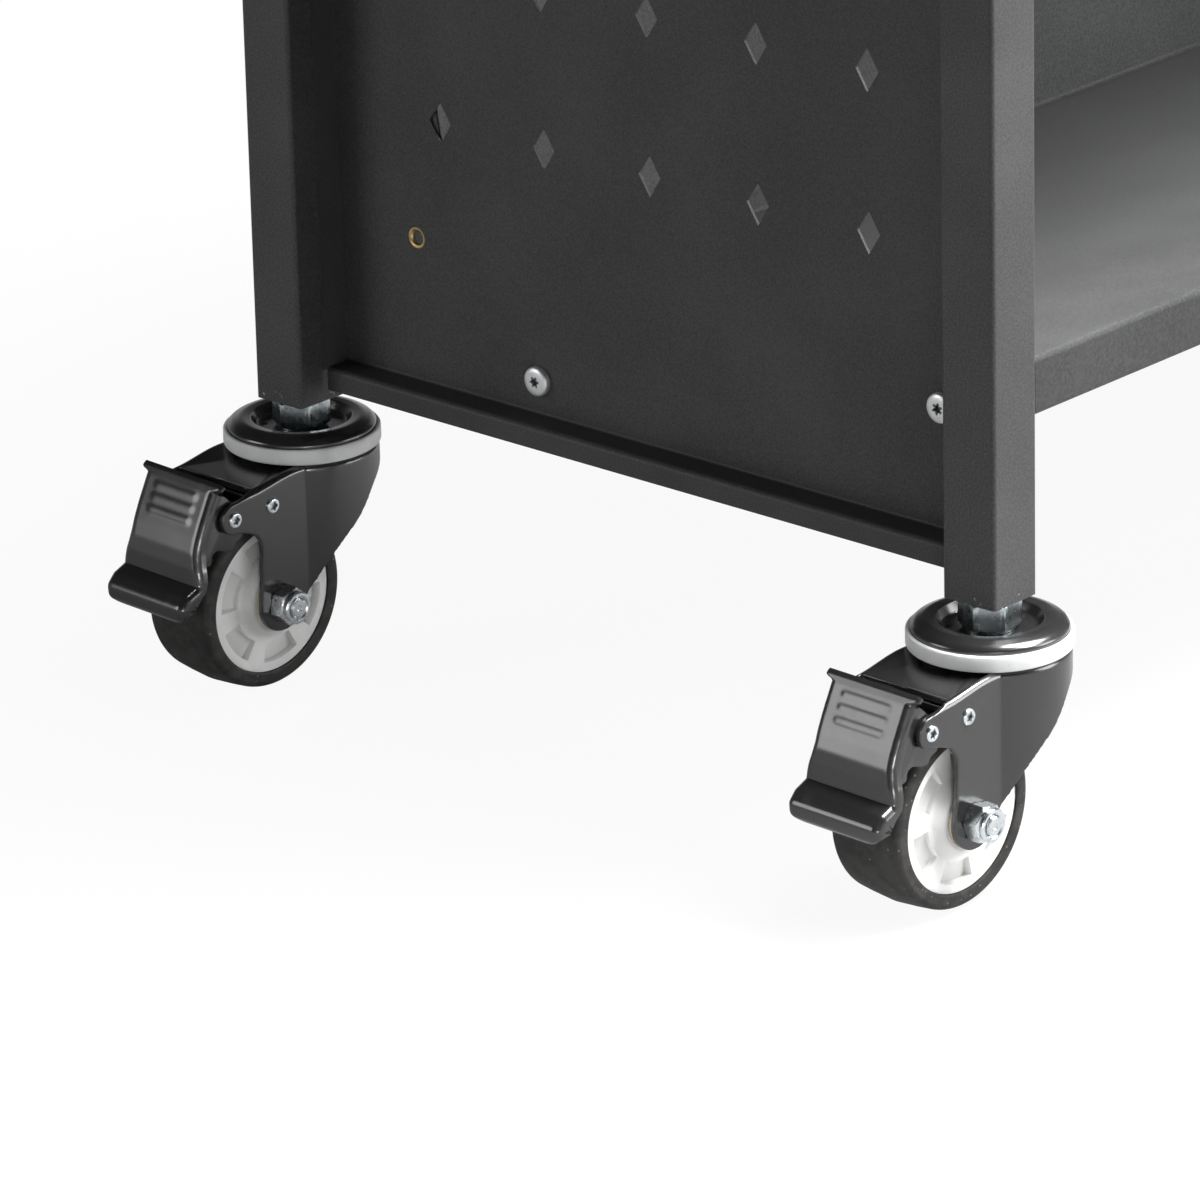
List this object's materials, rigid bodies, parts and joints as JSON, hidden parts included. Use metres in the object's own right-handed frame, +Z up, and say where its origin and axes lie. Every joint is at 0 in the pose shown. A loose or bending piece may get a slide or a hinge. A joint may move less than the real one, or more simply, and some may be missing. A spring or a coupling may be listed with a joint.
{
  "type": "rolling book cart",
  "caption": "Rolling book cart with leaning V shelves between perforated end panels in square tube posts, on swivel casters with foot brakes at one end.",
  "frame": {"origin": "on the floor, under the centre of the cart's overall box", "axes": "+X along the cart away from the end with the braked casters, +Z up, -Y the front"},
  "size_m": [0.9268, 0.4235, 1.25],
  "materials": {
    "post_paint": "fine powder coat",
    "panel_paint": "fine powder coat",
    "shelf_paint": "fine powder coat",
    "screw_zinc": "bright zinc",
    "insert_brass": "satin",
    "caster_zinc": "bluish zinc",
    "bearing_steel": "plain steel",
    "caster_black": "glossy",
    "dust_ring_plastic": "satin, translucent white",
    "rim_plastic": "satin",
    "tread_rubber": "matte"
  },
  "bodies": {
    "cart_frame": {"front_left_post": "post_paint", "rear_left_post": "post_paint", "front_right_post": "post_paint", "rear_right_post": "post_paint", "left_handle": "post_paint", "right_handle": "post_paint", "left_end_panel": "panel_paint", "right_end_panel": "panel_paint", "bottom_shelf": "shelf_paint", "middle_shelf": "shelf_paint", "top_shelf": "shelf_paint", "shelf_screws": "screw_zinc", "shelf_inserts": "insert_brass", "caster_sockets": "caster_zinc", "race_balls": "bearing_steel", "front_left_stem": "caster_zinc", "front_left_race_cup": "caster_black", "rear_left_stem": "caster_zinc", "rear_left_race_cup": "caster_black", "front_right_stem": "caster_zinc", "front_right_race_cup": "caster_black", "rear_right_stem": "caster_zinc", "rear_right_race_cup": "caster_black"},
    "front_left_swivel_body": {"front_left_dust_ring": "dust_ring_plastic", "front_left_fork": "caster_black", "front_left_axle_bolt": "caster_zinc", "front_left_axle_nut": "caster_zinc", "front_left_brake_rivets": "caster_zinc"},
    "front_left_wheel_body": {"front_left_tread": "tread_rubber", "front_left_rim": "rim_plastic", "front_left_bearings": "bearing_steel"},
    "front_left_pedal_body": {"front_left_pedal": "caster_black"},
    "front_left_shoe_body": {"front_left_brake_shoe": "caster_black"},
    "rear_left_swivel_body": {"rear_left_dust_ring": "dust_ring_plastic", "rear_left_fork": "caster_black", "rear_left_axle_bolt": "caster_zinc", "rear_left_axle_nut": "caster_zinc", "rear_left_brake_rivets": "caster_zinc"},
    "rear_left_wheel_body": {"rear_left_tread": "tread_rubber", "rear_left_rim": "rim_plastic", "rear_left_bearings": "bearing_steel"},
    "rear_left_pedal_body": {"rear_left_pedal": "caster_black"},
    "rear_left_shoe_body": {"rear_left_brake_shoe": "caster_black"},
    "front_right_swivel_body": {"front_right_dust_ring": "dust_ring_plastic", "front_right_fork": "caster_black", "front_right_axle_bolt": "caster_zinc", "front_right_axle_nut": "caster_zinc"},
    "front_right_wheel_body": {"front_right_tread": "tread_rubber", "front_right_rim": "rim_plastic", "front_right_bearings": "bearing_steel"},
    "rear_right_swivel_body": {"rear_right_dust_ring": "dust_ring_plastic", "rear_right_fork": "caster_black", "rear_right_axle_bolt": "caster_zinc", "rear_right_axle_nut": "caster_zinc"},
    "rear_right_wheel_body": {"rear_right_tread": "tread_rubber", "rear_right_rim": "rim_plastic", "rear_right_bearings": "bearing_steel"}
  },
  "joints": [
    {"name": "front_left_swivel", "type": "hinge", "parent": "cart_frame", "child": "front_left_swivel_body", "pos_m": [-0.37445, -0.1775, 0.111], "axis": [0, 0, 1], "continuous": true},
    {"name": "front_left_wheel", "type": "hinge", "parent": "front_left_swivel_body", "child": "front_left_wheel_body", "pos_m": [-0.40893, -0.1763, 0.038], "axis": [-0.0349, -0.9994, 0], "continuous": true},
    {"name": "front_left_brake_pedal", "type": "hinge", "parent": "front_left_swivel_body", "child": "front_left_pedal_body", "pos_m": [-0.43302, -0.17545, 0.0798], "axis": [-0.0349, -0.9994, 0], "range_deg": [0, 16]},
    {"name": "front_left_brake_shoe_pivot", "type": "hinge", "parent": "front_left_swivel_body", "child": "front_left_shoe_body", "pos_m": [-0.41283, -0.17616, 0.0803], "axis": [-0.0349, -0.9994, 0], "range_deg": [0, 3.1]},
    {"name": "rear_left_swivel", "type": "hinge", "parent": "cart_frame", "child": "rear_left_swivel_body", "pos_m": [-0.37445, 0.1775, 0.111], "axis": [0, 0, 1], "continuous": true},
    {"name": "rear_left_wheel", "type": "hinge", "parent": "rear_left_swivel_body", "child": "rear_left_wheel_body", "pos_m": [-0.40891, 0.17931, 0.038], "axis": [-0.0523, -0.9986, 0], "continuous": true},
    {"name": "rear_left_brake_pedal", "type": "hinge", "parent": "rear_left_swivel_body", "child": "rear_left_pedal_body", "pos_m": [-0.43297, 0.18057, 0.0798], "axis": [-0.0523, -0.9986, 0], "range_deg": [0, 16]},
    {"name": "rear_left_brake_shoe_pivot", "type": "hinge", "parent": "rear_left_swivel_body", "child": "rear_left_shoe_body", "pos_m": [-0.4128, 0.17951, 0.0803], "axis": [-0.0523, -0.9986, 0], "range_deg": [0, 3.1]},
    {"name": "front_right_swivel", "type": "hinge", "parent": "cart_frame", "child": "front_right_swivel_body", "pos_m": [0.39055, -0.1775, 0.111], "axis": [0, 0, 1], "continuous": true},
    {"name": "front_right_wheel", "type": "hinge", "parent": "front_right_swivel_body", "child": "front_right_wheel_body", "pos_m": [0.42505, -0.1775, 0.038], "axis": [0, 1, 0], "continuous": true},
    {"name": "rear_right_swivel", "type": "hinge", "parent": "cart_frame", "child": "rear_right_swivel_body", "pos_m": [0.39055, 0.1775, 0.111], "axis": [0, 0, 1], "continuous": true},
    {"name": "rear_right_wheel", "type": "hinge", "parent": "rear_right_swivel_body", "child": "rear_right_wheel_body", "pos_m": [0.42505, 0.1775, 0.038], "axis": [0, 1, 0], "continuous": true}
  ],
  "couplings": [
    {"joint": "front_left_brake_shoe_pivot", "follows": "front_left_brake_pedal", "ratio": 0.19},
    {"joint": "rear_left_brake_shoe_pivot", "follows": "rear_left_brake_pedal", "ratio": 0.19}
  ]
}
